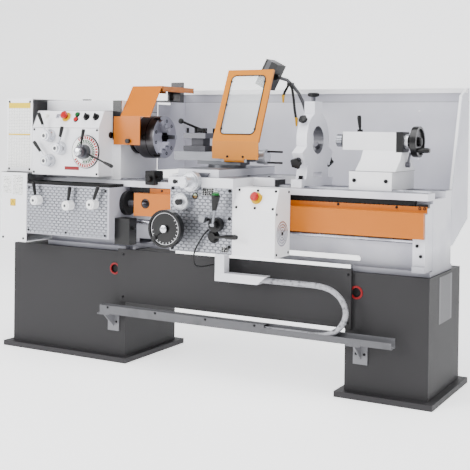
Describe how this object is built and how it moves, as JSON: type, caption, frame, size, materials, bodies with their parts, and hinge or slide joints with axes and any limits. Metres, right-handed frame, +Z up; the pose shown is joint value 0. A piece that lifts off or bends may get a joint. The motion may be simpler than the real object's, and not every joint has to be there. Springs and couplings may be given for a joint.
{
  "type": "metal lathe",
  "caption": "Toolroom centre lathe on two pedestals, with geared headstock, chuck and guard, carriage with top slide and chip shield, steady rest, tailstock and splash guard.",
  "frame": {"origin": "middle of the bounding box's base, on the floor", "axes": "+X from the headstock to the tailstock, +Y from the operator to the back, +Z up"},
  "size_m": [2.185, 0.877, 1.4155],
  "materials": {
    "grey_sheet": "fine textured dark grey paint",
    "trough_sheet": "mid grey paint",
    "hose": "ribbed light grey conduit",
    "bed_iron": "off-white paint with ground steel ways",
    "machine_paint": "off-white paint",
    "panel_metal": "off-white casting with a brushed front plate",
    "guard_sheet": "light grey paint",
    "yellow_paint": "warm yellow paint",
    "steel": "ground steel",
    "chuck_steel": "turned dark steel",
    "lever_metal": "turned hub with a black grip",
    "black_plastic": "black",
    "black_wheel": "black enamel",
    "red_plastic": "red",
    "green_plastic": "green",
    "clear_sheet": "clear sheet",
    "lamp_tube": "dark grey arm with black hoses"
  },
  "bodies": {
    "base": {"pedestal_left": "grey_sheet", "pedestal_right": "grey_sheet", "bed": "bed_iron", "cable_trough": "trough_sheet", "headstock": "machine_paint", "end_cover": "machine_paint", "gearbox": "panel_metal", "splash_guard": "guard_sheet", "cover_right": "yellow_paint"},
    "chuck_unit": {"spindle": "steel", "chuck": "chuck_steel"},
    "jaw_1": {"chuck_jaw_1": "steel"},
    "jaw_2": {"chuck_jaw_2": "steel"},
    "jaw_3": {"chuck_jaw_3": "steel"},
    "guard": {"chuck_guard": "yellow_paint"},
    "speed_a": {"speed_lever_a": "black_plastic"},
    "speed_b": {"speed_lever_b": "black_plastic"},
    "lever_1": {"head_lever_1": "lever_metal"},
    "lever_2": {"head_lever_2": "lever_metal"},
    "lever_3": {"head_lever_3": "lever_metal"},
    "head_stop": {"head_stop": "red_plastic"},
    "start": {"start_button": "green_plastic"},
    "stop": {"stop_button": "red_plastic"},
    "knob_1": {"selector_1": "black_plastic"},
    "knob_2": {"selector_2": "black_plastic"},
    "gear_1": {"gear_lever_1": "lever_metal"},
    "gear_2": {"gear_lever_2": "lever_metal"},
    "gear_3": {"gear_lever_3": "lever_metal"},
    "leadscrew": {"leadscrew": "steel"},
    "feed_rod": {"feed_rod": "steel"},
    "carriage": {"saddle": "machine_paint", "apron": "machine_paint", "drive_box": "machine_paint", "cover_left": "yellow_paint", "conduit": "hose", "lamp_arm": "lamp_tube"},
    "wheel": {"carriage_wheel": "black_wheel"},
    "dial": {"feed_dial": "steel"},
    "yoke": {"joystick_yoke": "black_plastic"},
    "stick": {"joystick": "black_plastic"},
    "nut": {"nut_lever": "black_plastic"},
    "apron_stop": {"apron_stop": "red_plastic"},
    "cross": {"cross_slide": "steel"},
    "cross_handle": {"cross_handle": "steel"},
    "swivel": {"compound": "steel"},
    "top": {"top_slide": "steel"},
    "top_wheel": {"top_wheel": "steel"},
    "turret": {"turret": "steel"},
    "shield": {"chip_shield": "yellow_paint", "shield_window": "clear_sheet"},
    "steady": {"steady_rest": "machine_paint"},
    "finger_1": {"steady_jaw_1": "black_plastic"},
    "finger_2": {"steady_jaw_2": "black_plastic"},
    "finger_3": {"steady_jaw_3": "black_plastic"},
    "tailstock": {"tailstock": "machine_paint"},
    "quill": {"quill": "steel"},
    "tail_wheel": {"tail_wheel": "black_wheel"},
    "quill_lock": {"quill_lock": "black_plastic"},
    "bed_clamp": {"bed_clamp": "steel"},
    "lamp": {"lamp_head": "black_plastic"}
  },
  "joints": [
    {"name": "spindle_turn", "type": "hinge", "parent": "base", "child": "chuck_unit", "pos_m": [-0.3625, 0.0175, 1.045], "axis": [1, 0, 0], "continuous": true},
    {"name": "jaw_1_slide", "type": "slide", "parent": "chuck_unit", "child": "jaw_1", "axis": [0, 1, 0], "range_m": [-0.022, 0.012]},
    {"name": "jaw_2_slide", "type": "slide", "parent": "chuck_unit", "child": "jaw_2", "axis": [0, -0.5, 0.866], "range_m": [-0.022, 0.012]},
    {"name": "jaw_3_slide", "type": "slide", "parent": "chuck_unit", "child": "jaw_3", "axis": [0, -0.5, -0.866], "range_m": [-0.022, 0.012]},
    {"name": "guard_lift", "type": "hinge", "parent": "base", "child": "guard", "pos_m": [-0.38, 0.2625, 1.285], "axis": [-1, 0, 0], "range_deg": [0, 80]},
    {"name": "speed_a_turn", "type": "hinge", "parent": "base", "child": "speed_a", "pos_m": [-0.5485, -0.2825, 0.974], "axis": [0, 1, 0], "range_deg": [-30, 30]},
    {"name": "speed_b_turn", "type": "hinge", "parent": "base", "child": "speed_b", "pos_m": [-0.5485, -0.2525, 0.974], "axis": [0, 1, 0], "range_deg": [-25, 25]},
    {"name": "lever_1_turn", "type": "hinge", "parent": "base", "child": "lever_1", "pos_m": [-0.7605, -0.2525, 1.045], "axis": [0, 1, 0], "range_deg": [-30, 30]},
    {"name": "lever_2_turn", "type": "hinge", "parent": "base", "child": "lever_2", "pos_m": [-0.6935, -0.2525, 0.987], "axis": [0, 1, 0], "range_deg": [-30, 30]},
    {"name": "lever_3_turn", "type": "hinge", "parent": "base", "child": "lever_3", "pos_m": [-0.7595, -0.2525, 0.927], "axis": [0, 1, 0], "range_deg": [-35, 18]},
    {"name": "head_stop_press", "type": "slide", "parent": "base", "child": "head_stop", "axis": [0, 0.8923, -0.4515], "range_m": [0, 0.005]},
    {"name": "start_press", "type": "slide", "parent": "base", "child": "start", "axis": [0, 0.8923, -0.4515], "range_m": [0, 0.004], "stiffness_N_per_m": 400},
    {"name": "stop_press", "type": "slide", "parent": "base", "child": "stop", "axis": [0, 0.8923, -0.4515], "range_m": [0, 0.004], "stiffness_N_per_m": 400},
    {"name": "knob_1_turn", "type": "hinge", "parent": "base", "child": "knob_1", "pos_m": [-0.5665, -0.20619, 1.134], "axis": [0, -0.8923, 0.4515], "range_deg": [-45, 45]},
    {"name": "knob_2_turn", "type": "hinge", "parent": "base", "child": "knob_2", "pos_m": [-0.5115, -0.20619, 1.134], "axis": [0, -0.8923, 0.4515], "range_deg": [-45, 45]},
    {"name": "gear_1_turn", "type": "hinge", "parent": "base", "child": "gear_1", "pos_m": [-0.7925, -0.2825, 0.741], "axis": [0, 1, 0], "range_deg": [-20, 25]},
    {"name": "gear_2_turn", "type": "hinge", "parent": "base", "child": "gear_2", "pos_m": [-0.6045, -0.2825, 0.725], "axis": [0, 1, 0], "range_deg": [-25, 25]},
    {"name": "gear_3_turn", "type": "hinge", "parent": "base", "child": "gear_3", "pos_m": [-0.4645, -0.2825, 0.737], "axis": [0, 1, 0], "range_deg": [-25, 20]},
    {"name": "leadscrew_turn", "type": "hinge", "parent": "base", "child": "leadscrew", "pos_m": [0.3375, -0.1345, 0.738], "axis": [1, 0, 0], "continuous": true},
    {"name": "feed_rod_turn", "type": "hinge", "parent": "base", "child": "feed_rod", "pos_m": [0.3375, -0.1345, 0.655], "axis": [1, 0, 0], "continuous": true},
    {"name": "carriage_slide", "type": "slide", "parent": "base", "child": "carriage", "axis": [1, 0, 0], "range_m": [-0.058, 0.058]},
    {"name": "wheel_turn", "type": "hinge", "parent": "carriage", "child": "wheel", "pos_m": [0.0165, -0.3825, 0.667], "axis": [0, 1, 0], "range_deg": [-1045, 1045]},
    {"name": "dial_turn", "type": "hinge", "parent": "carriage", "child": "dial", "pos_m": [0.0495, -0.3525, 0.778], "axis": [0, 1, 0], "range_deg": [-209, 209]},
    {"name": "yoke_swing", "type": "hinge", "parent": "carriage", "child": "yoke", "pos_m": [0.2165, -0.3625, 0.69], "axis": [0, 1, 0], "range_deg": [-12, 12]},
    {"name": "stick_tilt", "type": "hinge", "parent": "yoke", "child": "stick", "pos_m": [0.2165, -0.3745, 0.69], "axis": [1, 0, 0], "range_deg": [-10, 10]},
    {"name": "nut_lever_turn", "type": "hinge", "parent": "carriage", "child": "nut", "pos_m": [0.1995, -0.3425, 0.638], "axis": [0, 1, 0], "range_deg": [-12, 25]},
    {"name": "apron_stop_press", "type": "slide", "parent": "carriage", "child": "apron_stop", "axis": [0, 0.932, -0.3624], "range_m": [0, 0.005]},
    {"name": "cross_slide_feed", "type": "slide", "parent": "carriage", "child": "cross", "axis": [0, 1, 0], "range_m": [-0.02, 0.14]},
    {"name": "cross_handle_turn", "type": "hinge", "parent": "carriage", "child": "cross_handle", "pos_m": [0.1025, -0.3825, 0.866], "axis": [0, 1, 0], "range_deg": [-1441, 10081]},
    {"name": "swivel_turn", "type": "hinge", "parent": "cross", "child": "swivel", "pos_m": [0.1025, -0.0525, 0.93], "axis": [0, 0, -1], "range_deg": [-45, 45]},
    {"name": "top_slide_feed", "type": "slide", "parent": "swivel", "child": "top", "axis": [-1, 0, 0], "range_m": [-0.07, 0.06]},
    {"name": "top_wheel_turn", "type": "hinge", "parent": "top", "child": "top_wheel", "pos_m": [0.2775, -0.0525, 0.967], "axis": [1, 0, 0], "range_deg": [-5041, 4321]},
    {"name": "turret_index", "type": "hinge", "parent": "top", "child": "turret", "pos_m": [-0.0375, -0.0525, 1.02], "axis": [0, 0, 1], "continuous": true},
    {"name": "shield_tilt", "type": "hinge", "parent": "top", "child": "shield", "pos_m": [0.1835, -0.1245, 0.95], "axis": [1, 0, 0], "range_deg": [0, 75]},
    {"name": "finger_1_slide", "type": "slide", "parent": "steady", "child": "finger_1", "axis": [0, 0, 1], "range_m": [-0.014, 0.03]},
    {"name": "finger_2_slide", "type": "slide", "parent": "steady", "child": "finger_2", "axis": [0, -0.866, -0.5], "range_m": [-0.014, 0.03]},
    {"name": "finger_3_slide", "type": "slide", "parent": "steady", "child": "finger_3", "axis": [0, 0.866, -0.5], "range_m": [-0.014, 0.03]},
    {"name": "steady_slide", "type": "slide", "parent": "base", "child": "steady", "axis": [1, 0, 0], "range_m": [-0.01, 0.06]},
    {"name": "tailstock_slide", "type": "slide", "parent": "base", "child": "tailstock", "axis": [1, 0, 0], "range_m": [-0.06, 0.13]},
    {"name": "quill_feed", "type": "slide", "parent": "tailstock", "child": "quill", "axis": [-1, 0, 0], "range_m": [-0.03, 0.07]},
    {"name": "tail_wheel_turn", "type": "hinge", "parent": "tailstock", "child": "tail_wheel", "pos_m": [0.9475, 0.0175, 1.045], "axis": [1, 0, 0], "range_deg": [-2161, 5041]},
    {"name": "quill_lock_turn", "type": "hinge", "parent": "tailstock", "child": "quill_lock", "pos_m": [0.7045, 0.0175, 1.088], "axis": [0, 0, 1], "range_deg": [-30, 30]},
    {"name": "bed_clamp_turn", "type": "hinge", "parent": "tailstock", "child": "bed_clamp", "pos_m": [0.9135, 0.0255, 0.949], "axis": [1, 0, 0], "range_deg": [-30, 30]},
    {"name": "lamp_tilt", "type": "hinge", "parent": "carriage", "child": "lamp", "pos_m": [0.2083, 0.2185, 1.3329], "axis": [0, 1, 0], "range_deg": [-15, 15]}
  ],
  "couplings": [
    {"joint": "jaw_2_slide", "follows": "jaw_1_slide", "ratio": 1},
    {"joint": "jaw_3_slide", "follows": "jaw_1_slide", "ratio": 1},
    {"joint": "wheel_turn", "follows": "carriage_slide", "rad_per_m": 314.16},
    {"joint": "dial_turn", "follows": "carriage_slide", "rad_per_m": 62.832},
    {"joint": "cross_handle_turn", "follows": "cross_slide_feed", "rad_per_m": 1256.6},
    {"joint": "top_wheel_turn", "follows": "top_slide_feed", "rad_per_m": 1256.6},
    {"joint": "tail_wheel_turn", "follows": "quill_feed", "rad_per_m": 1256.6}
  ]
}
